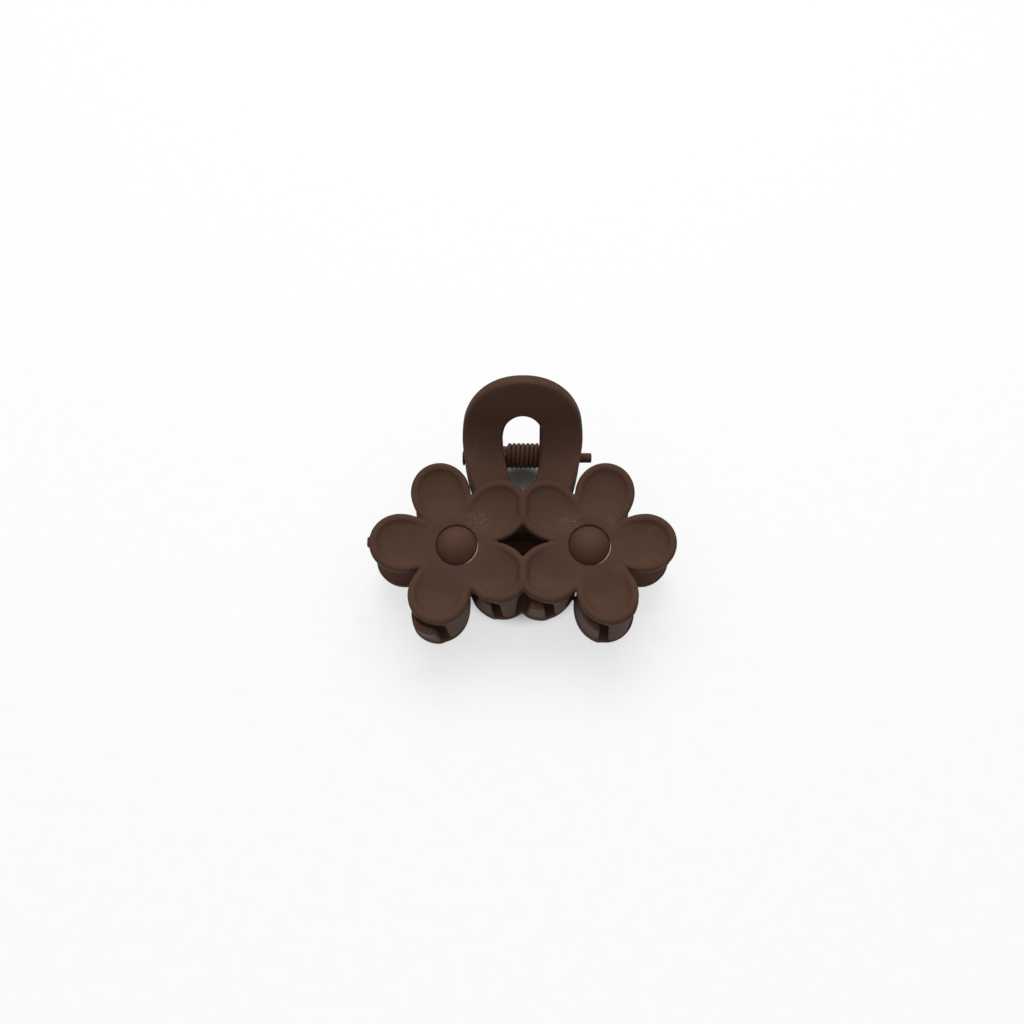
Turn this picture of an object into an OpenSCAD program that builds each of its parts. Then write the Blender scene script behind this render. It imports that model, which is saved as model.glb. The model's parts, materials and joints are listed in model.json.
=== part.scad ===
/* [Flowers] */
// Distance from one flower centre to the other
flower_pitch = 21.8; // [21:0.1:23]
// Distance from a flower centre to the middle of its outer petal's round tip
petal_reach = 9.4; // [9:0.1:10]
// Radius of a petal's round tip
petal_r = 4.9; // [4.6:0.1:5]
// How much further the lower petals of the back half reach
back_extra = 0.9; // [0:0.1:1.2]
// Thickness of the petals
petal_t = 1.7; // [1.4:0.1:2]
// Angle by which each petal rises from the flower centre to its tip
cup_angle = 8; // [6:0.5:10]
// Width of the soft rim that is left around each petal's dish
rim_w = 1.1; // [0.8:0.1:1.5]
// Depth of the dish in each petal
dish_depth = 0.45; // [0.2:0.05:0.6]

/* [Flower centres] */
// Radius of the round flower centre
dome_r = 3.35; // [3:0.05:3.5]
// Height of the round flower centre above its seat
dome_h = 2.3; // [1.5:0.1:2.8]
// Radius of the peg that holds it
peg_r = 1.4; // [1:0.1:1.8]

/* [Jaws] */
// Overall thickness of the closed clip, from the front petal tips to the back petal tips
closed_t = 12.8; // [12:0.1:14]
// Thickness of the teeth
tooth_t = 1.3; // [1:0.1:1.6]
// Clearance between the tooth tips and the opposite petal
tooth_gap = 0.3; // [0.3:0.1:0.8]
// Taper of each side of a tooth, from root to tip
tooth_taper = 0.6; // [0.3:0.1:0.8]

/* [Handle] */
// Greatest width of the finger loop
handle_w = 20.4; // [19:0.1:22]
// Thickness of the legs and the finger loop
handle_t = 2.2; // [2:0.1:2.3]
// Distance of the legs' outer face from the middle plane of the clip
leg_z = 4.5; // [4.4:0.1:5]
// Angle by which the finger loop flares outwards
flare_angle = 70; // [64:1:76]
// Radius of the bend in the outer face
bend_r = 5.5; // [5:0.1:7]
// Length of the finger loop above its widest point, along the bend
loop_l = 13.2; // [12:0.1:14]
// Greatest width of the hole in the finger loop
hole_w = 6.8; // [6:0.1:8]
// Length of the hole above its widest point, along the bend
hole_l = 5.2; // [4.5:0.1:6]

/* [Hinge] */
// Distance from the flower centres up to the hinge axis
hinge_y = 17.25; // [17:0.05:18]
// Diameter of the hinge pin
pin_d = 1.7; // [1.5:0.1:1.8]
// Radial clearance of the pin in the ears
pin_clearance = 0.05; // [0.02:0.01:0.1]
// Outer radius of the ears
ear_r = 1.95; // [1.8:0.05:2]
// Thickness of each ear
ear_t = 2; // [1.5:0.1:2.2]

/* [Spring] */
// Wire diameter of the torsion spring
wire_d = 0.75; // [0.6:0.05:0.8]
// Outer diameter of the spring coil
coil_d = 4.5; // [4:0.1:4.5]
// Number of turns, to the nearest half
coil_turns = 7.5; // [4.5:1:7.5]

/* [Hidden] */
$fn = 64;

// The clip lies on its back jaw: on the back petals and the tip of the back finger loop.
lie_angle = 15.24;
lie_lift = 9.897;
lie_shift = -7.055;

// Petals of a left flower: direction and how much further out they reach than petal_reach.
FRONT_PETALS = [[178, 0], [107.4, 0.2], [42.3, -0.15], [324.5, -1.05], [251.3, -0.45]];
BACK_PETALS = [[178, 0], [107.4, 0.2], [33, 0.8], [324.5, back_extra - 1.05], [251.3, back_extra - 0.45]];
rise = (petal_reach + petal_r) * tan(cup_angle);
hub_z = closed_t / 2 - rise;
hub_r = 5.5;
seat_z = hub_z + 0.1;
seat_gap = 0.08;
notch_r = 5.6;
peg_gap = 0.03;
peg_l = 1.5;

// Teeth: the side of the clip, the index of the petal they follow, their x range at the root, and how far above
// the petal's middle they end.
TEETH = [[-1, 4, -12.8, -8.6, 2], [-1, 3, -3.95, -0.8, -1.8], [1, 3, 4.8, 7.8, -1.8], [1, 4, 13.7, 17.6, -1.8]];
tooth_top = hub_z + 0.4;
tooth_bottom = -(closed_t / 2 - petal_t - tooth_gap);
tooth_tip_r = 0.55;

// Handle: s runs along the middle of the strip, 0 at its widest point. The bend starts below that.
bend_y = -2;
bend_s = -3.96;
leg_foot_s = -15;
leg_narrowing = 2.5;
leg_narrow_s = -10.7;
hole_foot_s = -11;
hole_narrowing = 1.27;
hole_narrow_s = -7.8;
outline_power = 2.15;
mid_angle = flare_angle / 2;
bend_mid_r = bend_r + handle_t / 2;
flare_s = bend_s + bend_mid_r * flare_angle * PI / 180;
split_angle = -bend_s / bend_mid_r * 180 / PI;
mid_z = leg_z - handle_t / 2;

ear_gap = 0.35;
ear_x = 4.2;
pin_left = -10.4;
pin_right = 12;
head_r = 1.4;
head_t = 0.45;
bore_r = pin_d / 2 + pin_clearance;

coil_pitch = wire_d + 0.038;
coil_mid_r = (coil_d - wire_d) / 2;
coil_left = -2.73;
coil_up = 0.4;
coil_start = 180;
coil_end = coil_start + coil_turns * 360;
coil_step = 20;
wire_sides = 8;
arm_gap = 0.1;
arm_r = bend_r + handle_t + wire_d / 2 + arm_gap;
arm_angles = [for (a = [22 : 4 : 62]) a];
back_arm_shift = 1.42;
front_arm_shift = 0.1;

// Places a closed clip, drawn about its flower centres, as it lies.
module lying() {
    translate([0, lie_shift, lie_lift]) rotate([lie_angle, 0, 0]) children();
}

// The back half is the front half, turned about the up axis.
module turned() {
    rotate([0, 180, 0]) children();
}

module petal_outline(reach) {
    notch = [notch_r * cos(36), notch_r * sin(36)];
    shoulder = [reach - 0.9, sqrt(petal_r * petal_r - 0.81) - 0.02];
    translate([reach, 0]) circle(r = petal_r);
    polygon([[0, 0], [notch[0], -notch[1]], [shoulder[0], -shoulder[1]],
             [shoulder[0], shoulder[1]], [notch[0], notch[1]]]);
}

// One petal, pointing along +X from the flower centre, with its dish.
module petal(reach) {
    dish_r = petal_r - rim_w;
    ball_r = (dish_r * dish_r + dish_depth * dish_depth) / (2 * dish_depth);
    rotate([0, -cup_angle, 0]) difference() {
        translate([0, 0, -petal_t]) linear_extrude(petal_t) petal_outline(reach);
        translate([reach, 0, ball_r - dish_depth]) sphere(r = ball_r, $fn = 96);
    }
}

// A left flower, with its petals' directions and reaches.
module flower(petals) {
    for (p = petals) rotate(p[0]) petal(petal_reach + p[1]);
    translate([0, 0, -petal_t]) cylinder(r = hub_r, h = petal_t);
}

// A tooth is a piece of wall under the petal's edge, with a tapered and rounded end that stays clear of the
// petal opposite.
module tooth(petals, t) {
    petal = petals[t[1]];
    direction = t[0] < 0 ? petal[0] : 180 - petal[0];
    flower_x = t[0] * flower_pitch / 2;
    reach = petal_reach + petal[1];
    tip = [flower_x + reach * cos(direction), reach * sin(direction)];
    tip_z = tooth_bottom + tooth_tip_r;
    difference() {
        intersection() {
            translate([tip[0], tip[1], tooth_bottom - 1]) difference() {
                cylinder(r = petal_r - 0.05, h = tooth_top - tooth_bottom + 1);
                translate([0, 0, -1]) cylinder(r = petal_r - tooth_t, h = tooth_top - tooth_bottom + 3);
            }
            translate([0, tip[1] + t[4], 0]) rotate([90, 0, 0]) linear_extrude(petal_r + 3)
                polygon([[t[2], tooth_top], [t[3], tooth_top], [t[3] - tooth_taper, tip_z],
                         [t[3] - tooth_taper - tooth_tip_r, tooth_bottom],
                         [t[2] + tooth_taper + tooth_tip_r, tooth_bottom], [t[2] + tooth_taper, tip_z]]);
        }
        translate([flower_x, 0, -hub_z]) rotate(direction) rotate([0, cup_angle, 0])
            translate([0, -10, petal_t + tooth_gap - 10]) cube([20, 20, 10]);
    }
}

// Half-widths of the loop and its hole, at s along the strip.
function loop_w(s) = handle_w / 2 * pow(max(0, 1 - pow(max(0, s) / loop_l, outline_power)), 1 / outline_power)
    - leg_narrowing * pow(min(0, s) / leg_narrow_s, 1.7);
function hole_half(s) = hole_w / 2 * sqrt(max(0, 1 - pow(max(0, s) / hole_l, 2)))
    - hole_narrowing * pow(min(0, s) / hole_narrow_s, 1.5);

// Middle of the strip at s, as [y, z] from the hinge axis, and its height in a view that leans back by a.
function strip_yz(s) =
    let (a = min(flare_angle, max(0, (s - bend_s) / bend_mid_r * 180 / PI)), l = max(0, s - flare_s))
    s < bend_s ? [bend_y + s - bend_s, mid_z]
    : [bend_y + bend_mid_r * sin(a) + l * cos(a), mid_z + bend_mid_r * (1 - cos(a)) + l * sin(a)];
function view_y(s, a) = let (p = strip_yz(s)) p[0] * cos(a) + p[1] * sin(a);

// A prism with a mirrored outline, square to a view leaning back by angle a.
module prism(points, a) {
    rotate([a, 0, 0]) linear_extrude(60, center = true)
        polygon(concat(points, [for (i = [len(points) - 1 : -1 : 0]) [-points[i][0], points[i][1]]]));
}

// Profile of the bend in (y, z), between two angles.
module bend(from, to) {
    far = 30;
    translate([bend_y, leg_z + bend_r]) intersection() {
        difference() {
            circle(r = bend_r + handle_t, $fn = 128);
            circle(r = bend_r, $fn = 128);
        }
        polygon(concat([[0, 0]], [for (i = [0 : 2]) let (a = from + (to - from) * i / 2) far * [sin(a), -cos(a)]]));
    }
}

// The legs and the first part of the bend, up to the strip's widest point.
module legs() {
    steps = 14;
    sides = [for (i = [0 : steps]) let (s = leg_foot_s * (1 - i / steps)) [loop_w(s), view_y(s, mid_angle)]];
    intersection() {
        rotate([90, 0, 90]) linear_extrude(handle_w + 2, center = true) {
            translate([strip_yz(leg_foot_s)[0], leg_z - handle_t])
                square([bend_y - strip_yz(leg_foot_s)[0] + 0.001, handle_t]);
            bend(0, split_angle);
        }
        prism(concat(sides, [[handle_w / 2, view_y(0, mid_angle) + 2]]), mid_angle);
    }
}

// The rest of the bend and the flared end of the loop, with its round outline.
module loop_end() {
    steps = 26;
    start = strip_yz(flare_s);
    tops = [for (i = [1 : steps]) let (s = 0.7 + (loop_l - 0.7) * sin(90 * i / steps))
            [loop_w(s), view_y(s, flare_angle)]];
    intersection() {
        rotate([90, 0, 90]) linear_extrude(handle_w + 2, center = true) {
            bend(split_angle, flare_angle);
            translate(start) rotate(flare_angle) translate([-0.001, -handle_t / 2])
                square([loop_l - flare_s + 1, handle_t]);
        }
        prism(concat([[handle_w / 2, view_y(0, flare_angle) - 2], [handle_w / 2, view_y(0.7, flare_angle)]], tops),
              flare_angle);
    }
}

module handle() {
    steps = 16;
    hole = [for (i = [0 : steps]) let (s = hole_foot_s + (hole_l - hole_foot_s) * sin(90 * i / steps))
            [hole_half(s), view_y(s, mid_angle)]];
    translate([0, hinge_y, 0]) difference() {
        union() {
            legs();
            loop_end();
        }
        prism(hole, mid_angle);
    }
}

// An ear about the hinge axis, with a web to the leg in front of it; x is its inner face.
module ear(x) {
    translate([x, hinge_y, 0]) {
        rotate([0, 90, 0]) cylinder(r = ear_r, h = ear_t);
        translate([0, -ear_r, 0]) cube([ear_t, 2 * ear_r, leg_z - 0.4]);
    }
}

// One jaw, drawn as the front one about the flower centres; the hinge axis is along X at hinge_y.
module jaw(petals) {
    difference() {
        union() {
            for (side = [-1, 1]) translate([side * flower_pitch / 2, 0, hub_z])
                mirror([side > 0 ? 1 : 0, 0, 0]) flower(petals);
            handle();
            ear(ear_x + ear_t + ear_gap);
            ear(-ear_x - ear_t);
            for (t = TEETH) tooth(petals, t);
        }
        for (side = [-1, 1]) translate([side * flower_pitch / 2, 0, 0]) {
            translate([0, 0, seat_z]) cylinder(r = dome_r + seat_gap, h = 5);
            translate([0, 0, seat_z - peg_l - 0.1]) cylinder(r = peg_r + peg_gap, h = peg_l + 1);
        }
        translate([-15, hinge_y, 0]) rotate([0, 90, 0]) cylinder(r = bore_r, h = 30);
    }
}

module dome(side) {
    ball_r = (dome_r * dome_r + dome_h * dome_h) / (2 * dome_h);
    translate([side * flower_pitch / 2, 0, seat_z]) {
        intersection() {
            translate([0, 0, dome_h - ball_r]) sphere(r = ball_r);
            cylinder(r = dome_r, h = dome_h + 1);
        }
        translate([0, 0, -peg_l]) cylinder(r = peg_r, h = peg_l + 0.2);
    }
}

module front_jaw() {
    color([0.31, 0.22, 0.19]) lying() jaw(FRONT_PETALS);
}

module back_jaw() {
    color([0.31, 0.22, 0.19]) lying() turned() jaw(BACK_PETALS);
}

module hinge_pin() {
    color([0.26, 0.19, 0.17]) lying() translate([0, hinge_y, 0]) rotate([0, 90, 0]) {
        translate([0, 0, pin_left]) cylinder(d = pin_d, h = pin_right - pin_left);
        translate([0, 0, pin_left]) cylinder(r = head_r, h = head_t);
    }
}

// Points of the wire's centre line: the coil about X, and an arm in a plane square to X.
function coil_point(a) = [coil_left + coil_pitch * (a - coil_start) / 360,
                          coil_up + coil_mid_r * sin(a), coil_mid_r * cos(a)];
function arm_point(x, a, side) = [x, bend_y + arm_r * sin(a), side * (leg_z + bend_r - arm_r * cos(a))];

// A ring of the wire about point p, square to direction d.
function ring(p, d) =
    let (u = d / norm(d), side = abs(u[0]) < 0.9 ? [1, 0, 0] : [0, 1, 0], turn = 360 / wire_sides,
         e = cross(u, side) / norm(cross(u, side)), f = cross(u, e))
    [for (k = [0 : wire_sides - 1]) p + wire_d / 2 * (e * cos(k * turn) + f * sin(k * turn))];

module wire(points) {
    n = len(points);
    rings = [for (i = [0 : n - 1]) ring(points[i], points[min(i + 1, n - 1)] - points[max(i - 1, 0)])];
    polyhedron(points = [for (r = rings) for (q = r) q], faces = concat(
        [[for (k = [0 : wire_sides - 1]) k]],
        [for (i = [0 : n - 2]) for (k = [0 : wire_sides - 1])
            let (a = i * wire_sides, b = (k + 1) % wire_sides)
            [a + k, a + wire_sides + k, a + wire_sides + b, a + b]],
        [[for (k = [wire_sides - 1 : -1 : 0]) (n - 1) * wire_sides + k]]));
}

// Each arm leaves the coil and lies along the inside of its own finger loop.
module torsion_spring() {
    coil = [for (a = [coil_start : coil_step : coil_end]) coil_point(a)];
    first_x = coil_left - back_arm_shift;
    last_x = coil_point(coil_end)[0] + front_arm_shift;
    steps = len(arm_angles);
    back = [for (i = [steps - 1 : -1 : 0]) arm_point(first_x, arm_angles[i], -1)];
    front = [for (a = arm_angles) arm_point(last_x, a, 1)];
    corner = [coil_left - 0.75, coil_up + 0.35, -2.25];
    color([0.24, 0.17, 0.15]) lying() translate([0, hinge_y, 0]) wire(concat(back, [corner], coil, front));
}

module front_left_dome() {
    color([0.33, 0.24, 0.2]) lying() dome(-1);
}

module front_right_dome() {
    color([0.33, 0.24, 0.2]) lying() dome(1);
}

module back_left_dome() {
    color([0.33, 0.24, 0.2]) lying() turned() dome(1);
}

module back_right_dome() {
    color([0.33, 0.24, 0.2]) lying() turned() dome(-1);
}

front_jaw();
back_jaw();
hinge_pin();
torsion_spring();
front_left_dome();
front_right_dome();
back_left_dome();
back_right_dome();
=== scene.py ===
"""Flower hair clip: the looks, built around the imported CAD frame."""
import json
import math

import bpy
import numpy as np
from mathutils import Matrix, Vector


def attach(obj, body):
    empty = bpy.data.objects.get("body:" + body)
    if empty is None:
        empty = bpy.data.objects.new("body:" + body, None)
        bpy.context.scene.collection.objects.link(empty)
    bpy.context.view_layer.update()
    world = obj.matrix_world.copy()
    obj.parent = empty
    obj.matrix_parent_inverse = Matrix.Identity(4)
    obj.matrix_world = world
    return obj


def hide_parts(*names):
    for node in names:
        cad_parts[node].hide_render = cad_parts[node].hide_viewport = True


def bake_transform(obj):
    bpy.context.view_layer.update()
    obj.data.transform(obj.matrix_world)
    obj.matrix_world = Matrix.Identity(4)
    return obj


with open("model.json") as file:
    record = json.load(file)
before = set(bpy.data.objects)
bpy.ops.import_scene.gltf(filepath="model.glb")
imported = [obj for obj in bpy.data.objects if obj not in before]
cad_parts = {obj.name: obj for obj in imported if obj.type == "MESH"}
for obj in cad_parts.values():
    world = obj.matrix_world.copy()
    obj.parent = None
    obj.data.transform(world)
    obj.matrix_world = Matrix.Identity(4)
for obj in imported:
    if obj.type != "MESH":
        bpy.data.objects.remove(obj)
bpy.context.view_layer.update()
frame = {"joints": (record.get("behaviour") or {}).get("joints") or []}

MM = 0.001

# The clip's own frame: X along the hinge, Y from the flowers to the finger loops, Z out of the front face.
# It lies tilted on the floor; its origin is half way between the flower centres.
LIE = math.radians(15.24)
HINGE_Y = 17.25
JOINT = frame["joints"][0]
TILT = Matrix.Rotation(LIE, 3, "X")
ORIGIN = Vector(JOINT["pos_m"]) - TILT @ Vector((0, HINGE_Y * MM, 0))

# Sizes in mm, within 0.05 mm of the CAD's.
PITCH = 21.8
PETAL_T = 1.7
CUP = math.radians(8)
CLOSED_T = 12.8
HUB_Z = 4.39
SEAT_Z = HUB_Z + 0.1
DOME_R = 3.35
DOME_H = 2.3
PEG_R = 1.4
PEG_L = 1.5
HANDLE_W = 20.4
HANDLE_T = 2.2
LEG_Z = 4.5
FLARE = math.radians(70)
BEND_R = 5.5
BEND_Y = -2.0
BEND_S = -3.96
LOOP_L = 13.2
HOLE_W = 6.75
HOLE_L = 5.2
LEG_FOOT_S = -15
LEG_NARROWING = 2.5
LEG_NARROW_S = -10.7
HOLE_FOOT_S = -11
HOLE_NARROWING = 1.27
HOLE_NARROW_S = -7.8
OUTLINE_POWER = 2.15
EARS = ((6.55, 8.55), (-6.2, -4.2))
EAR_R = 1.95
PIN_R = 0.85
HEAD_R = 1.36
PIN_LEFT = -10.4
PIN_RIGHT = 12.0
COIL_R = 1.85
COIL_UP = 0.4
COIL_LEFT = -2.73
COIL_TURNS = 7.5
COIL_PITCH = 0.788
WIRE_R = 0.375
BACK_ARM_SHIFT = 1.42
FRONT_ARM_SHIFT = 0.1
SEAT_GAP = 0.05
PEG_GAP = 0.03
BORE_GAP = 0.05

# Petals of a left flower: direction in degrees, and distance from its centre to the petal's widest part.
# The back half's lower two reach further, and so does its upper inner one, which also points less far up.
FRONT_PETALS = [(178, 9.1), (107.4, 9.3), (42.3, 9.0), (324.5, 8.1), (251.3, 8.65)]
BACK_PETALS = [(178, 9.1), (107.4, 9.3), (33, 10.0), (324.5, 9.0), (251.3, 9.5)]
PETAL_W = 4.93
PETAL_TIP = 5.2
PETAL_ROOT = 6.1
HUB_R = 5.5
RIM_W = 0.95
DISH_RUN = 3.7
DISH_LIP = 0.18
DISH_DEPTH = 0.75

# Teeth: side of the clip, index of the petal whose edge they follow, their x range at the root, and how far
# above the petal's widest place they end.
TEETH = [
    (-1, 4, -12.8, -7.6, 2.2),
    (-1, 3, -3.95, -0.6, -2.1),
    (1, 3, 4.8, 7.9, -2.1),
    (1, 4, 13.7, 18.1, -1.9),
]
TOOTH_T = 1.3
TOOTH_INSET = 0.62
TOOTH_LEAN = 0.9
TOOTH_TAPER = 0.65
TOOTH_TOP = HUB_Z + 0.4
TOOTH_BOTTOM = -(CLOSED_T / 2 - PETAL_T + 0.2)
TIP_GAP = 0.2

# The moulding nub on the left petal's outer edge: its middle and half its size along X, Y and Z.
NUB = ((-25.0, 0.45), (0.3, 0.75), (5.4, 0.55))

# How far edges are rounded, and the fillets where shapes meet.
PETAL_ROUND = 0.45
HANDLE_ROUND = 0.6
TOOTH_ROUND = 0.3
EAR_ROUND = 0.25
HUB_FILLET = 0.4
PETAL_FILLET = 0.35
FLOWER_FILLET = 0.5
TOOTH_FILLET = 0.9
EAR_FILLET = 0.5
HANDLE_FILLET = 0.25
NUB_FILLET = 0.15


# ---------------------------------------------------------------- distance functions (numpy, mm)

def smooth_min(a, b, k):
    """Union of two distances with a fillet of about k."""
    h = np.clip(0.5 + 0.5 * (b - a) / k, 0, 1)
    return b + (a - b) * h - k * h * (1 - h)


def smooth_max(a, b, k):
    """Intersection of two distances with its edge eased by about k."""
    return -smooth_min(-a, -b, k)


def step(t):
    """Eases from 0 at 0 to 1 at 1."""
    t = np.clip(t, 0, 1)
    return t * t * (3 - 2 * t)


def rounded_slab(outline, above, below, r):
    """A slab with the given outline distance, between two face distances, with its edges rounded by r."""
    face = np.maximum(above, below)
    a, b = outline + r, face + r
    return np.minimum(np.maximum(a, b), 0) + np.hypot(np.maximum(a, 0), np.maximum(b, 0)) - r


def petal_outline(along, across):
    """About the distance to a petal's egg-shaped outline, from its widest place."""
    length = np.where(along > 0, PETAL_TIP, PETAL_ROOT)
    g = np.hypot(along / length, across / PETAL_W) + 1e-6
    slope = np.hypot(along / length ** 2, across / PETAL_W ** 2) / g
    return (g - 1) / np.maximum(slope, 0.05)


def petal(x, y, z, degrees, reach):
    """One petal of a left flower, z from the hub's top."""
    a = math.radians(degrees)
    along, across = x * math.cos(a) + y * math.sin(a), y * math.cos(a) - x * math.sin(a)
    c, s = math.cos(CUP), math.sin(CUP)
    px, pz = along * c + z * s, z * c - along * s
    outline = petal_outline(px - reach, across)
    inset = np.where(px > reach, -outline, PETAL_W * (1 - 0.008 * (reach - px) ** 2) - np.abs(across))
    # The dish has a small step inside the rim, flattens to its middle and fades out towards the hub.
    t = np.clip((inset - RIM_W) / DISH_RUN, 0, 1)
    dish_start, dish_full = 3.5, 9.0
    fade = step((px - dish_start) / (dish_full - dish_start))
    dish = (DISH_LIP * step(t * 5) + DISH_DEPTH * (1 - (1 - t) ** 2.4)) * fade
    outline = smooth_min(outline, np.hypot(px, across) - HUB_R, HUB_FILLET)
    return rounded_slab(outline, pz + dish, -PETAL_T - pz, PETAL_ROUND)


def flower(x, y, z, petals):
    """A left flower about the origin."""
    d = None
    for degrees, reach in petals:
        one = petal(x, y, z, degrees, reach)
        d = one if d is None else smooth_min(d, one, PETAL_FILLET)
    return d


def strip_place(y, z):
    """(s, t): how far up the bent strip's middle a point is from its widest place, and how far in front."""
    mid_r = BEND_R + HANDLE_T / 2
    mid_z = LEG_Z - HANDLE_T / 2
    cy, cz = BEND_Y, LEG_Z + BEND_R
    angle = np.arctan2(y - cy, cz - z)
    rho = np.hypot(y - cy, z - cz)
    s = BEND_S + mid_r * angle
    t = mid_r - rho
    leg = y < cy
    s = np.where(leg, y - BEND_Y + BEND_S, s)
    t = np.where(leg, z - mid_z, t)
    fy, fz = math.cos(FLARE), math.sin(FLARE)
    ey, ez = cy + mid_r * fz, cz - mid_r * fy
    along = (y - ey) * fy + (z - ez) * fz
    end = (angle > FLARE) & ~leg | (along > 0) & (y > cy)
    s = np.where(end, BEND_S + mid_r * FLARE + along, s)
    t = np.where(end, (z - ez) * fy - (y - ey) * fz, t)
    return s, t


def handle(x, y, z):
    """The legs and the flared finger loop, y and z from the hinge axis."""
    s, t = strip_place(y, z)
    ax = np.abs(x)
    half = HANDLE_W / 2
    power = OUTLINE_POWER
    up = np.maximum(s, 0)
    down = np.clip(-s, 0, 1 - LEG_FOOT_S)
    # Above the widest place the loop and its hole are rounded; below it both narrow towards the foot.
    g = ((ax / half) ** power + (up / LOOP_L) ** power + 1e-9) ** (1 / power)
    steepness = np.hypot((ax / half) ** (power - 1) / half, (up / LOOP_L) ** (power - 1) / LOOP_L)
    outer = (g - 1) / np.maximum(g ** (1 - power) * steepness, 1e-3)
    leg_half = half - LEG_NARROWING * (down / -LEG_NARROW_S) ** 1.7
    outer = np.where(s < 0, ax - leg_half, outer)
    hole_g = np.hypot(ax / (HOLE_W / 2), up / HOLE_L) + 1e-6
    hole_slope = np.hypot(ax / (HOLE_W / 2) ** 2, up / HOLE_L ** 2) / hole_g
    hole = (hole_g - 1) / np.maximum(hole_slope, 1e-3)
    hole_half = HOLE_W / 2 - HOLE_NARROWING * (down / -HOLE_NARROW_S) ** 1.5
    hole = np.where(s < 0, (ax - hole_half) * 0.98, hole)
    hole = np.maximum(hole, HOLE_FOOT_S - s)
    outline = np.maximum(np.maximum(outer, -hole), LEG_FOOT_S - s)
    return rounded_slab(outline, t - HANDLE_T / 2, -t - HANDLE_T / 2, HANDLE_ROUND)


def tooth(x, y, z, petals, side, index, x0, x1, up):
    """A wall under the edge of a petal, from x0 to x1 at its root, leaning a little outwards."""
    degrees, reach = petals[index]
    a = math.radians(degrees)
    u = PITCH / 2 - side * x
    along, across = u * math.cos(a) + y * math.sin(a), y * math.cos(a) - u * math.sin(a)
    depth = (TOOTH_TOP - z) / (TOOTH_TOP - TOOTH_BOTTOM)
    wall = petal_outline(along - reach - TOOTH_LEAN * np.maximum(depth - 0.15, 0), across)
    wall = np.abs(wall + TOOTH_INSET) - TOOTH_T / 2
    flank = TOOTH_TAPER * np.clip(depth, 0, 1)
    mid, half = (x0 + x1) / 2, (x1 - x0) / 2
    ends = (np.abs(x - mid) - half + flank) * 0.99
    # The tip stays clear of the petal opposite, and the root ends inside the petal that carries it.
    over_opposite = (z + HUB_Z) * math.cos(CUP) + along * math.sin(CUP)
    ends = smooth_max(ends, PETAL_T + TIP_GAP - over_opposite, 0.6)
    ends = np.maximum(ends, (z - HUB_Z) * math.cos(CUP) - along * math.sin(CUP) + 0.7)
    behind = y - reach * math.sin(a) - up
    return rounded_slab(np.maximum(ends, behind), wall, wall, TOOTH_ROUND)


def ear(x, y, z, x0, x1):
    """An ear about the hinge axis between x0 and x1, with its web up to the leg; y and z from the axis."""
    disc = np.hypot(y, z) - EAR_R
    web = np.maximum(np.abs(y) - EAR_R, np.maximum(-z, z - LEG_Z + 0.4))
    side = np.abs(x - (x0 + x1) / 2) - (x1 - x0) / 2
    return rounded_slab(np.minimum(disc, web), side, side, EAR_ROUND)


def jaw_distance(p, petals):
    """Distance from points p, an (n, 3) array in the clip's frame, to a jaw drawn as the front one."""
    x, y, z = p[:, 0], p[:, 1], p[:, 2]
    mirrored = np.abs(x)
    d = flower(PITCH / 2 - mirrored, y, z - HUB_Z, petals)
    # The flower of the other side matters only near the seam between the two.
    seam_w = 2.5
    seam = mirrored < seam_w
    other = flower(PITCH / 2 + mirrored[seam], y[seam], z[seam] - HUB_Z, petals)
    d[seam] = smooth_min(d[seam], other, FLOWER_FILLET)
    for one in TEETH:
        d = smooth_min(d, tooth(x, y, z, petals, *one), TOOTH_FILLET)
    hy = y - HINGE_Y
    loop = handle(x, hy, z)
    for x0, x1 in EARS:
        loop = smooth_min(loop, ear(x, hy, z, x0, x1), EAR_FILLET)
    d = smooth_min(d, loop, HANDLE_FILLET)
    nub = np.max([np.abs(value - mid) - half for value, (mid, half) in zip((x, y, z), NUB)], axis=0)
    d = smooth_min(d, nub, NUB_FILLET)
    # What is cut out: the flower centre's seat, its peg's hole and the pin's bore.
    from_centre = np.hypot(mirrored - PITCH / 2, y)
    seat = np.maximum(from_centre - DOME_R - SEAT_GAP, SEAT_Z - z)
    d = smooth_max(d, -seat, 0.08)
    peg_hole = np.maximum(from_centre - PEG_R - PEG_GAP, SEAT_Z - PEG_L - z)
    bore = np.hypot(hy, z) - PIN_R - BORE_GAP
    return np.maximum(np.maximum(d, -peg_hole), -bore)


# ---------------------------------------------------------------- meshing

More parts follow.
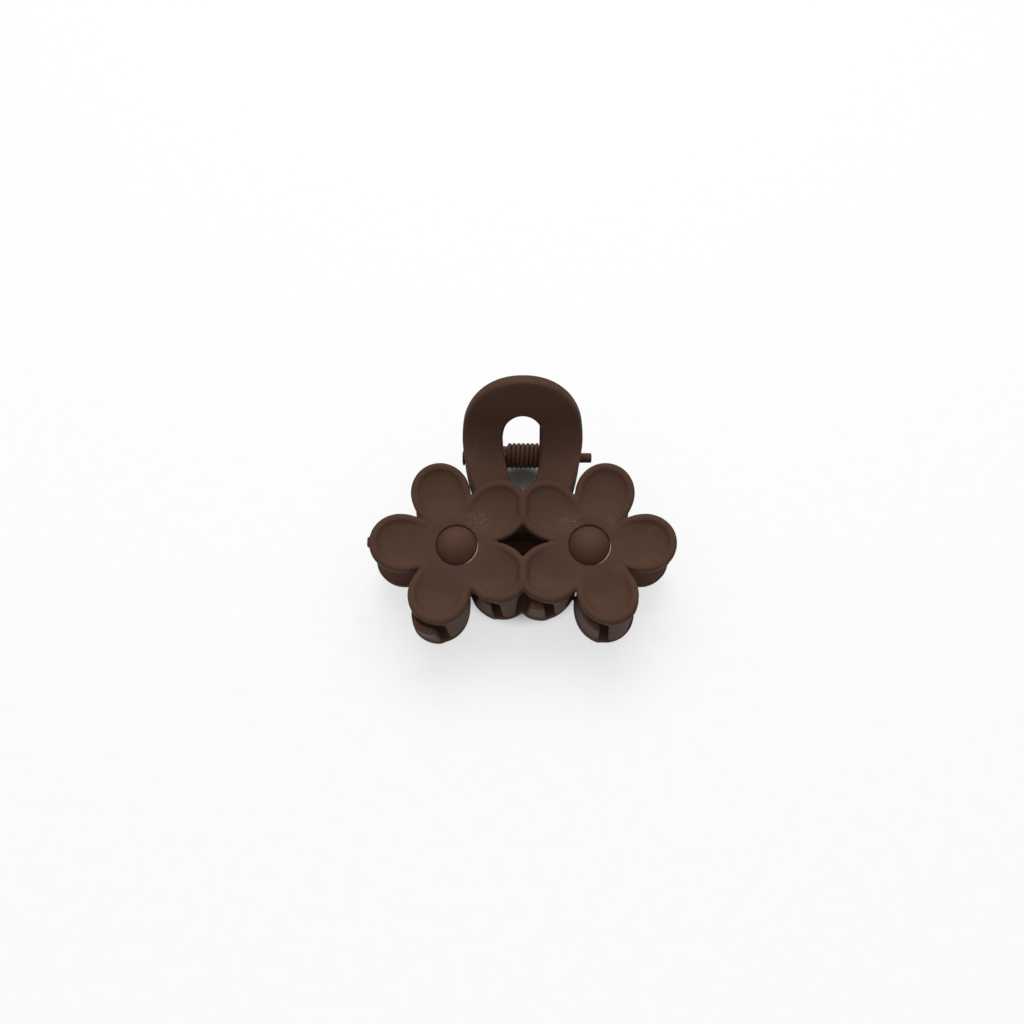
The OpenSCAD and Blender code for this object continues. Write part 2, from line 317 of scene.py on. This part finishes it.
def surface_mesh(distance, low, high, size):
    """Vertices and quads of the zero surface of distance, as a surface net on a grid of this size."""
    low = np.array(low, float)
    counts = np.ceil((np.array(high) - low) / size).astype(int) + 1
    far = 10.0
    value = np.full(counts, far, np.float32)
    # A coarse pass finds the blocks near the surface; only their grid points are worked out, in batches.
    block = 4
    coarse = [np.arange(0, n, block) for n in counts]
    corners = np.stack(np.meshgrid(*coarse, indexing="ij"), -1).reshape(-1, 3)
    centres = low + (corners + block / 2 - 0.5) * size
    corners = corners[np.abs(distance(centres)) < block * size * 1.35]
    within = np.stack(np.meshgrid(*[np.arange(block)] * 3, indexing="ij"), -1).reshape(-1, 3)
    ids = (corners[:, None, :] + within[None]).reshape(-1, 3)
    ids = ids[(ids < counts).all(1)]
    found = np.empty(len(ids), np.float32)
    batch = 400000
    for i in range(0, len(ids), batch):
        found[i:i + batch] = distance(low + ids[i:i + batch] * size)
    value[ids[:, 0], ids[:, 1], ids[:, 2]] = found
    inside = value < 0
    n = counts - 1

    def shifted(c):
        """Whether each cell's corner c is inside."""
        return inside[c[0]:c[0] + n[0], c[1]:c[1] + n[1], c[2]:c[2] + n[2]]

    # Each cell that the surface passes through gets one point, the mean of where its edges cross it.
    cell_corners = [(i, j, k) for i in (0, 1) for j in (0, 1) for k in (0, 1)]
    total = sum(shifted(c).astype(np.int8) for c in cell_corners)
    active = (total > 0) & (total < 8)
    cells = np.argwhere(active)
    index = np.full(n, -1, np.int64)
    index[active] = np.arange(len(cells))
    point = np.zeros((len(cells), 3))
    hits = np.zeros(len(cells))
    for a in cell_corners:
        for axis in range(3):
            if a[axis]:
                continue
            b = tuple(1 if i == axis else a[i] for i in range(3))
            va = value[tuple((cells + a).T)].astype(float)
            vb = value[tuple((cells + b).T)].astype(float)
            cross = (va < 0) != (vb < 0)
            t = np.where(cross, va / np.where(cross, va - vb, 1), 0)
            at = cells + np.array(a, float)
            at[:, axis] += t
            point[cross] += at[cross]
            hits += cross
    point = low + point / hits[:, None] * size
    # Each grid edge that crosses the surface gets a face between the points of the four cells about it.
    quads = []
    for axis in range(3):
        u, v = (axis + 1) % 3, (axis + 2) % 3
        first = np.take(inside, range(0, inside.shape[axis] - 1), axis)
        second = np.take(inside, range(1, inside.shape[axis]), axis)
        for flip, where in ((False, first & ~second), (True, ~first & second)):
            e = np.argwhere(where)
            e = e[(e[:, u] > 0) & (e[:, v] > 0) & (e[:, u] < n[u]) & (e[:, v] < n[v])]
            ring = []
            for du, dv in ((-1, -1), (0, -1), (0, 0), (-1, 0)):
                c = e.copy()
                c[:, u] += du
                c[:, v] += dv
                ring.append(index[tuple(c.T)])
            q = np.stack(ring, 1)
            quads.append(q[:, ::-1] if flip else q)
    quads = np.concatenate(quads)
    quads = quads[(quads >= 0).all(1)]
    for _ in range(3):
        point = settle(distance, point, size)
    return point, quads


def settle(distance, p, size):
    """Moves points along the gradient onto the zero surface, by no more than half a cell."""
    h = 0.02
    d = distance(p)
    grad = np.stack([(distance(p + axis * h) - distance(p - axis * h)) / (2 * h) for axis in np.eye(3)], 1)
    square = np.maximum((grad ** 2).sum(1), 0.05)
    move = -d[:, None] * grad / square[:, None]
    far = np.linalg.norm(move, axis=1)
    return p + move * np.minimum(1, 0.5 * size / np.maximum(far, 1e-9))[:, None]


def to_row(p, turned=False):
    """Clip-frame millimetres to metres in the shared frame; turned is the back half."""
    p = np.array(p, float)
    if turned:
        p = p * (-1, 1, -1)
    return p @ np.array(TILT).T * MM + np.array(ORIGIN)


def new_piece(name, points, faces, turned=False):
    mesh = bpy.data.meshes.new(name)
    mesh.from_pydata(to_row(points, turned).tolist(), [], [list(map(int, f)) for f in faces])
    mesh.validate()
    mesh.polygons.foreach_set("use_smooth", [True] * len(mesh.polygons))
    piece = bpy.data.objects.new(name, mesh)
    bpy.context.collection.objects.link(piece)
    return piece


def sweep(path, radius, sides):
    """A round bar of this radius along path, with flat ends."""
    n = len(path)
    tangent = np.gradient(path, axis=0)
    tangent /= np.linalg.norm(tangent, axis=1)[:, None]
    normal = np.cross(tangent[0], (1, 0, 0) if abs(tangent[0][0]) < 0.9 else (0, 1, 0))
    points, faces = [], []
    for i in range(n):
        normal = normal - tangent[i] * normal.dot(tangent[i])
        normal /= np.linalg.norm(normal)
        side = np.cross(tangent[i], normal)
        for k in range(sides):
            a = 2 * math.pi * k / sides
            points.append(path[i] + radius * (math.cos(a) * normal + math.sin(a) * side))
    for i in range(n - 1):
        for k in range(sides):
            a, b = i * sides + k, i * sides + (k + 1) % sides
            faces.append((a, b, b + sides, a + sides))
    faces.append(tuple(range(sides - 1, -1, -1)))
    faces.append(tuple((n - 1) * sides + k for k in range(sides)))
    return np.array(points), faces


def revolve(profile, sides=64):
    """A closed solid of revolution about Z from (radius, height) points, first and last on the axis."""
    points = [(0, 0, profile[0][1])]
    for r, z in profile[1:-1]:
        for k in range(sides):
            a = 2 * math.pi * k / sides
            points.append((r * math.cos(a), r * math.sin(a), z))
    points.append((0, 0, profile[-1][1]))
    rings = len(profile) - 2
    faces = []
    for k in range(sides):
        n = (k + 1) % sides
        faces.append((0, 1 + n, 1 + k))
        for i in range(rings - 1):
            a = 1 + i * sides
            faces.append((a + k, a + n, a + n + sides, a + k + sides))
        a = 1 + (rings - 1) * sides
        faces.append((a + k, a + n, len(points) - 1))
    return np.array(points), faces


# ---------------------------------------------------------------- materials

DUST_COLOUR = (0.19, 0.135, 0.11, 1)
# The pale colour of the painted highlight on the seats' edges.
PAINTED_HIGHLIGHT_COLOUR = (0.42, 0.34, 0.27, 1)


def add_node(tree, kind, inputs, **settings):
    """A new node with these settings, each input linked to a socket or set to a value."""
    node = tree.nodes.new(kind)
    for key, value in settings.items():
        setattr(node, key, value)
    for key, value in inputs.items():
        if isinstance(value, bpy.types.NodeSocket):
            tree.links.new(value, node.inputs[key])
        else:
            node.inputs[key].default_value = value
    return node


def math_node(tree, kind, a, b=0.0, clamp=False):
    return add_node(tree, "ShaderNodeMath", {0: a, 1: b}, operation=kind, use_clamp=clamp).outputs[0]


def map_range(tree, value, start, end, low=0.0, high=1.0, shape="LINEAR"):
    """Goes from low, where value is start or beyond, to high, where it is end or beyond."""
    inputs = {"Value": value, "From Min": start, "From Max": end, "To Min": low, "To Max": high}
    return add_node(tree, "ShaderNodeMapRange", inputs, interpolation_type=shape).outputs["Result"]


def mix_colours(tree, amount, first, second):
    return add_node(tree, "ShaderNodeMix", {0: amount, 6: first, 7: second}, data_type="RGBA").outputs[2]


def noise(tree, place, scale, detail):
    inputs = {"Vector": place, "Scale": scale, "Detail": detail}
    return add_node(tree, "ShaderNodeTexNoise", inputs).outputs["Fac"]


def dust_and_painted_highlight(tree, place):
    """How dusty the coat is at each place, and where a painted highlight lies on the seats' edges, both
    from 0 to 1.
    """
    texture = add_node(tree, "ShaderNodeTexVoronoi", {"Vector": place, "Scale": 4500.0})
    speck = map_range(tree, texture.outputs["Distance"], 0.38, 0.08)
    patch = map_range(tree, noise(tree, place, 230.0, 1.0), 0.6, 0.85)
    lying = {"Vector": place, "Location": tuple(ORIGIN), "Rotation": (LIE, 0, 0)}
    in_clip = add_node(tree, "ShaderNodeMapping", lying, vector_type="TEXTURE")
    clip = add_node(tree, "ShaderNodeSeparateXYZ", {0: in_clip.outputs["Vector"]})
    side = math_node(tree, "SIGN", clip.outputs["X"])
    inward = math_node(tree, "SUBTRACT", PITCH / 2 * MM, math_node(tree, "ABSOLUTE", clip.outputs["X"]))
    flat = add_node(tree, "ShaderNodeCombineXYZ", {"X": inward, "Y": clip.outputs["Y"]}).outputs[0]
    outer_face = map_range(tree, math_node(tree, "ABSOLUTE", clip.outputs["Z"]), 3.9 * MM, 4.3 * MM)

    # Dust shows in faint patches, and in one above each flower centre on its inner side.
    dust_middle = (3.1 * MM, 3.6 * MM, 0)
    from_middle = add_node(tree, "ShaderNodeVectorMath", {0: flat, 1: dust_middle}, operation="DISTANCE")
    near = map_range(tree, from_middle.outputs["Value"], 3.0 * MM, 0.6 * MM)
    dusty = math_node(tree, "ADD", patch, math_node(tree, "MULTIPLY", near, outer_face), clamp=True)

    # A painted highlight lies on the seat's edge at the lower right of each flower centre.
    from_centre = add_node(tree, "ShaderNodeVectorMath", {0: flat}, operation="LENGTH")
    highlight_r = (DOME_R + 0.12) * MM
    past_ring = math_node(tree, "SUBTRACT", from_centre.outputs["Value"], highlight_r)
    ring = map_range(tree, math_node(tree, "ABSOLUTE", past_ring), 0.1 * MM, 0.03 * MM)
    right = math_node(tree, "MULTIPLY", math_node(tree, "MULTIPLY", inward, -0.87), side)
    low = math_node(tree, "MULTIPLY", clip.outputs["Y"], 0.5)
    lower_right = map_range(tree, math_node(tree, "SUBTRACT", right, low), 2.6 * MM, 3.3 * MM)
    painted_highlight = math_node(tree, "MULTIPLY", math_node(tree, "MULTIPLY", ring, outer_face), lower_right)
    return math_node(tree, "MULTIPLY", speck, dusty), painted_highlight


def coating(name, light, dark, rough):
    """Soft matte rubberised coat: fine grain, faint clouding, pale dust and a painted highlight on the
    seats' edges.
    """
    mat = bpy.data.materials.new(name)
    mat.use_nodes = True
    tree = mat.node_tree
    shader = tree.nodes["Principled BSDF"]
    shader.inputs["Specular IOR Level"].default_value = 0.06
    place = tree.nodes.new("ShaderNodeTexCoord").outputs["Object"]
    dust, painted_highlight = dust_and_painted_highlight(tree, place)
    colour = mix_colours(tree, noise(tree, place, 160.0, 3.0), (*dark, 1), (*light, 1))
    colour = mix_colours(tree, dust, colour, DUST_COLOUR)
    # Mixes in the painted highlight at the lower right of each seat's edge.
    colour = mix_colours(tree, painted_highlight, colour, PAINTED_HIGHLIGHT_COLOUR)
    tree.links.new(colour, shader.inputs["Base Color"])
    grain = noise(tree, place, 6500.0, 2.0)
    tree.links.new(map_range(tree, grain, 0.0, 1.0, rough - 0.06, rough + 0.08), shader.inputs["Roughness"])
    bump = add_node(tree, "ShaderNodeBump", {"Strength": 0.12, "Distance": 0.04 * MM, "Height": grain})
    tree.links.new(bump.outputs["Normal"], shader.inputs["Normal"])
    return mat


JAW_COAT = coating("jaw_coat", (0.064, 0.0325, 0.0215), (0.055, 0.0280, 0.0185), 0.6)
DOME_COAT = coating("dome_coat", (0.068, 0.0345, 0.0230), (0.058, 0.0295, 0.0195), 0.58)
WIRE_COAT = coating("wire_coat", (0.068, 0.0340, 0.0225), (0.053, 0.0270, 0.0180), 0.5)


def finish_piece(piece, material, slot, body, *nodes):
    piece.data.materials.append(material)
    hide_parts(*nodes)
    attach(piece, body)


# ---------------------------------------------------------------- pieces

def make_jaws():
    size = 0.25
    low = (-25.8, -15.2, -5.4)
    high = (25.8, HINGE_Y + 10, CLOSED_T / 2 + 10.5)
    for name, petals, turned in (("front_jaw", FRONT_PETALS, False), ("back_jaw", BACK_PETALS, True)):
        points, faces = surface_mesh(lambda p: jaw_distance(p, petals), low, high, size)
        piece = new_piece(name + "_moulding", points, faces, turned)
        finish_piece(piece, JAW_COAT, "jaw_coating", name, name)


def dome_profile():
    """Pressed-in flower centre: a flattened ball with a small rounded foot, and its peg."""
    ball_r = (DOME_R ** 2 + DOME_H ** 2) / (2 * DOME_H)
    profile = [(0, -PEG_L), (PEG_R - 0.1, -PEG_L), (PEG_R, 0.1 - PEG_L), (PEG_R, 0)]
    profile += [(DOME_R - 0.16, 0), (DOME_R - 0.04, 0.05)]
    steps = 20
    first = math.asin((DOME_R - 0.01) / ball_r)
    for i in range(steps):
        a = first * (1 - i / steps)
        z = DOME_H - ball_r + ball_r * math.cos(a)
        profile.append((ball_r * math.sin(a), max(z, 0.12)))
    profile.append((0, DOME_H))
    return profile


def make_domes():
    points, faces = revolve(dome_profile())
    for half, turned in (("front", False), ("back", True)):
        for side, x in (("left", -1), ("right", 1)):
            name = half + "_" + side + "_dome"
            place = -x if turned else x
            placed = points + (place * PITCH / 2, 0, SEAT_Z)
            piece = new_piece(name + "_cap", placed, faces, turned)
            finish_piece(piece, DOME_COAT, "dome_coating", half + "_jaw", name)


def make_pin():
    """The pin, from its rounded head on the left to its plain end on the right."""
    profile = [(0, PIN_LEFT), (HEAD_R - 0.46, PIN_LEFT), (HEAD_R - 0.14, PIN_LEFT + 0.08)]
    profile += [(HEAD_R, PIN_LEFT + 0.24), (HEAD_R - 0.14, PIN_LEFT + 0.4), (PIN_R, PIN_LEFT + 0.46)]
    profile += [(PIN_R, PIN_LEFT + 2), (PIN_R, PIN_RIGHT - 2)]
    profile += [(PIN_R, PIN_RIGHT - 0.14), (PIN_R - 0.05, PIN_RIGHT - 0.05), (PIN_R - 0.16, PIN_RIGHT)]
    profile.append((0, PIN_RIGHT))
    points, faces = revolve(profile, 40)
    turned = np.stack([points[:, 2], points[:, 0] + HINGE_Y, points[:, 1]], 1)
    piece = new_piece("hinge_pin_coated", turned, faces)
    finish_piece(piece, WIRE_COAT, "pin_coating", "back_jaw", "hinge_pin")


def make_spring():
    """The coil about the pin, wound from its back arm to its front arm."""
    coil_right = COIL_LEFT + COIL_PITCH * COIL_TURNS
    arm_gap = 0.1
    arm_r = BEND_R + HANDLE_T + WIRE_R + arm_gap
    arm_angles = range(22, 64, 4)

    def arm(x, degrees, side):
        a = math.radians(degrees)
        return (x, BEND_Y + arm_r * math.sin(a) + HINGE_Y, side * (LEG_Z + BEND_R - arm_r * math.cos(a)))

    coil = []
    coil_y = HINGE_Y + COIL_UP
    steps_per_turn = 40
    steps = int(COIL_TURNS * steps_per_turn)
    for i in range(steps + 1):
        a = math.pi + COIL_TURNS * 2 * math.pi * i / steps
        x = COIL_LEFT + COIL_PITCH * COIL_TURNS * i / steps
        coil.append((x, coil_y + COIL_R * math.sin(a), COIL_R * math.cos(a)))
    back = [arm(COIL_LEFT - BACK_ARM_SHIFT, a, -1) for a in reversed(arm_angles)]
    back.append((COIL_LEFT - 0.75, coil_y + 0.35, -2.25))
    front = [arm(coil_right + FRONT_ARM_SHIFT, a, 1) for a in arm_angles]
    path = np.array(back + coil + front)
    # The corners where the arms meet the coil are eased.
    corners = np.zeros(len(path), bool)
    corners[len(back) - 3:len(back) + 3] = True
    corners[-len(front) - 3:-len(front) + 3] = True
    for _ in range(2):
        eased = (path[:-2] + path[1:-1] * 2 + path[2:]) / 4
        path[1:-1] = np.where(corners[1:-1, None], eased, path[1:-1])
    points, faces = sweep(path, WIRE_R, 14)
    piece = new_piece("torsion_spring_wire", points, faces)
    piece.data.materials.append(WIRE_COAT)
    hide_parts("torsion_spring")
    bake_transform(piece)


# ---------------------------------------------------------------- floor, light, camera

def floor_material():
    mat = bpy.data.materials.new("glowing_floor_painted_shadow")
    mat.use_nodes = True
    tree = mat.node_tree
    shader = tree.nodes["Principled BSDF"]
    shader.inputs["Roughness"].default_value = 0.75
    mottle = add_node(tree, "ShaderNodeTexNoise", {"Scale": 900.0}).outputs["Fac"]
    tree.links.new(map_range(tree, mottle, 0.0, 1.0, 0.19, 0.22), shader.inputs["Base Color"])
    # The sheet glows as painted light, as on a light table, and where the clip stands close above it the
    # glow is dimmed into a painted shadow:
    # about two middles on the Y axis, each with the distances at which the glow starts and is full.
    place = tree.nodes.new("ShaderNodeTexCoord").outputs["Object"]
    # The low level is the painted shadow under the clip; the high one is the painted glow elsewhere.
    painted_shadow_glow, bright = 0.015, 0.66
    glow_and_painted_shadow = []
    for y, start, full in ((13.5, 3.5, 9.5), (-2.0, 9.5, 14.5)):
        reach = add_node(tree, "ShaderNodeVectorMath", {0: place, 1: (0, y * MM, 0)}, operation="DISTANCE")
        away = reach.outputs["Value"]
        glow_and_painted_shadow.append(map_range(tree, away, start * MM, full * MM, painted_shadow_glow, bright, "SMOOTHSTEP"))
    shader.inputs["Emission Color"].default_value = (1, 1, 1, 1)
    tree.links.new(math_node(tree, "MINIMUM", *glow_and_painted_shadow), shader.inputs["Emission Strength"])
    return mat


def make_floor():
    half = 1.2
    corners = [(-half, -half, 0), (half, -half, 0), (half, half, 0), (-half, half, 0)]
    mesh = bpy.data.meshes.new("floor")
    mesh.from_pydata(corners, [], [(0, 1, 2, 3)])
    floor = bpy.data.objects.new("floor", mesh)
    bpy.context.collection.objects.link(floor)
    mesh.materials.append(floor_material())


def area_light(name, size, energy, place, target):
    light = bpy.data.lights.new(name, "AREA")
    light.shape = "SQUARE"
    light.size = size
    light.energy = energy
    lamp = bpy.data.objects.new(name, light)
    bpy.context.collection.objects.link(lamp)
    lamp.location = place
    lamp.rotation_euler = (Vector(target) - Vector(place)).to_track_quat("-Z", "Y").to_euler()


def make_lights():
    world = bpy.data.worlds.new("studio")
    bpy.context.scene.world = world
    world.use_nodes = True
    tree = world.node_tree
    back = tree.nodes["Background"]
    back.inputs["Color"].default_value = (1, 1, 1, 1)
    # Brightest a little behind overhead and dim at the sides and in front.
    place = tree.nodes.new("ShaderNodeTexCoord").outputs["Generated"]
    brightest = (0, 0.33, 0.944)
    height = add_node(tree, "ShaderNodeVectorMath", {0: place, 1: brightest}, operation="DOT_PRODUCT")
    tree.links.new(map_range(tree, height.outputs["Value"], 0.25, 0.96, 0.22, 1.5), back.inputs["Strength"])
    middle = (0, 0, 0.01)
    area_light("top_softbox", 0.35, 1.4, (0.0, 0.26, 0.44), middle)
    area_light("front_fill", 0.7, 0.45, (-0.1, -0.45, 0.3), middle)


def make_camera():
    """Looks at the clip's front face, leaning a little towards its teeth."""
    lean = math.radians(18.5)
    far = 162.6
    aside, rise = 1.8, 4.91
    up = Vector((0, math.cos(lean), math.sin(lean)))
    out = Vector((0, -math.sin(lean), math.cos(lean)))
    place = Vector((-aside, 0, CLOSED_T / 2)) + out * far + up * rise
    data = bpy.data.cameras.new("camera")
    data.sensor_width = 36
    data.lens = 35.16
    data.clip_start = 0.01
    camera = bpy.data.objects.new("camera", data)
    bpy.context.collection.objects.link(camera)
    turn = Matrix((Vector((1, 0, 0)), TILT @ up, TILT @ out)).transposed()
    camera.matrix_world = Matrix.Translation(ORIGIN + TILT @ (place * MM)) @ turn.to_4x4()
    bpy.context.scene.camera = camera


bpy.context.scene.view_settings.view_transform = "Standard"
make_camera()
make_floor()
make_lights()
make_jaws()
make_domes()
make_pin()
make_spring()
